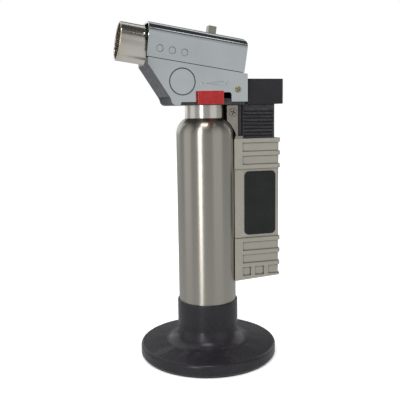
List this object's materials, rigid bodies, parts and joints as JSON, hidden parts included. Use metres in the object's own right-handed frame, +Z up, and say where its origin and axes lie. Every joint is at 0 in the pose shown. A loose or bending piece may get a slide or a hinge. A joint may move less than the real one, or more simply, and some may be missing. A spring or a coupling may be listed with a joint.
{
  "type": "butane torch",
  "caption": "Hand-held butane micro torch with a tilted burner head, steel gas tank, ribbed side handle with a thumb igniter, and a round lift-off stand.",
  "frame": {"origin": "on the tank's axis, at the underside of the stand's foot pad", "axes": "+Z up along the tank, the burner points towards -X, the handle and thumb button are on the +X side"},
  "size_m": [0.0851, 0.0716, 0.1713],
  "materials": {
    "black_plastic": "satin moulded",
    "rubber": "matte",
    "brushed_steel": "brushed round the tank",
    "plain_steel": "rolled",
    "white_plastic": "moulded",
    "brass": "machined",
    "spring_steel": "drawn wire",
    "nickel": "nickel plate, polished",
    "red_plastic": "moulded, ridged",
    "chrome": "polished plate",
    "brass_screw": "yellow passivated",
    "scorched_brass": "heat darkened",
    "copper": "drawn tube",
    "ceramic": "glazed",
    "lead_rubber": "extruded",
    "handle_satin": "satin warm grey",
    "screw_steel": "zinc",
    "bracket_nickel": "satin nickel plate",
    "badge_black": "satin black",
    "dark_plastic": "moulded",
    "button_plastic": "smooth satin"
  },
  "bodies": {
    "stand": {"stand_base": "black_plastic", "foot_pad": "rubber"},
    "torch": {"tank_shell": "brushed_steel", "tank_floor": "plain_steel", "wick_tube": "white_plastic", "refill_body": "brass", "refill_seal": "rubber", "refill_spring": "spring_steel", "valve_body": "brass", "valve_washer": "rubber", "valve_spring": "spring_steel", "neck_collar": "nickel", "head_body": "black_plastic", "side_plate_left": "chrome", "side_plate_right": "chrome", "burner_cover": "chrome", "plate_screws": "brass_screw", "burner_tube": "nickel", "flame_holder": "scorched_brass", "mixer_body": "brass", "gas_jet": "brass", "gas_pipe": "copper", "electrode": "plain_steel", "electrode_insulator": "ceramic", "ignition_lead": "lead_rubber", "lever_pin": "plain_steel", "handle_left": "handle_satin", "handle_right": "handle_satin", "handle_screws": "screw_steel", "handle_bracket": "bracket_nickel", "bracket_screws": "bracket_nickel", "badge_left": "badge_black", "badge_right": "badge_black", "piezo_body": "white_plastic", "return_spring": "spring_steel"},
    "flame_control": {"flame_lever": "red_plastic", "regulator_sleeve": "brass"},
    "air_collar": {"air_collar": "bracket_nickel"},
    "refill_stem": {"refill_stem": "brass"},
    "valve_stem": {"valve_stem": "brass"},
    "gas_lever": {"gas_lever": "plain_steel"},
    "piezo_plunger": {"piezo_plunger": "dark_plastic"},
    "thumb_button": {"thumb_button": "button_plastic"}
  },
  "joints": [
    {"name": "torch_lift", "type": "slide", "parent": "stand", "child": "torch", "axis": [0, 0, 1], "range_m": [0, 0.026]},
    {"name": "button_press", "type": "slide", "parent": "torch", "child": "thumb_button", "axis": [0, 0, -1], "range_m": [0, 0.006], "stiffness_N_per_m": 500, "springref_m": -0.006, "deforming": ["return_spring"]},
    {"name": "plunger_slide", "type": "slide", "parent": "torch", "child": "piezo_plunger", "axis": [0, 0, -1], "range_m": [0, 0.006]},
    {"name": "gas_lever_rock", "type": "hinge", "parent": "torch", "child": "gas_lever", "pos_m": [0.004, 0, 0.141], "axis": [0, 1, 0], "range_deg": [0, 19.6]},
    {"name": "valve_stem_lift", "type": "slide", "parent": "torch", "child": "valve_stem", "axis": [0, 0, 1], "range_m": [0, 0.0012], "deforming": ["valve_spring"]},
    {"name": "flame_adjust", "type": "hinge", "parent": "torch", "child": "flame_control", "pos_m": [0, 0, 0.135], "axis": [0, 0, 1], "range_deg": [0, 14.5]},
    {"name": "air_adjust", "type": "hinge", "parent": "torch", "child": "air_collar", "pos_m": [0, 0, 0.1553], "axis": [0.9885, 0, -0.1513], "range_deg": [-15, 15]},
    {"name": "refill_press", "type": "slide", "parent": "torch", "child": "refill_stem", "axis": [0, 0, 1], "range_m": [0, 0.0012], "stiffness_N_per_m": 400, "springref_m": -0.002, "deforming": ["refill_spring"]}
  ],
  "couplings": [
    {"joint": "plunger_slide", "follows": "button_press", "ratio": 1},
    {"joint": "gas_lever_rock", "follows": "button_press", "rad_per_m": 56.723},
    {"joint": "valve_stem_lift", "follows": "button_press", "ratio": 0.2}
  ]
}
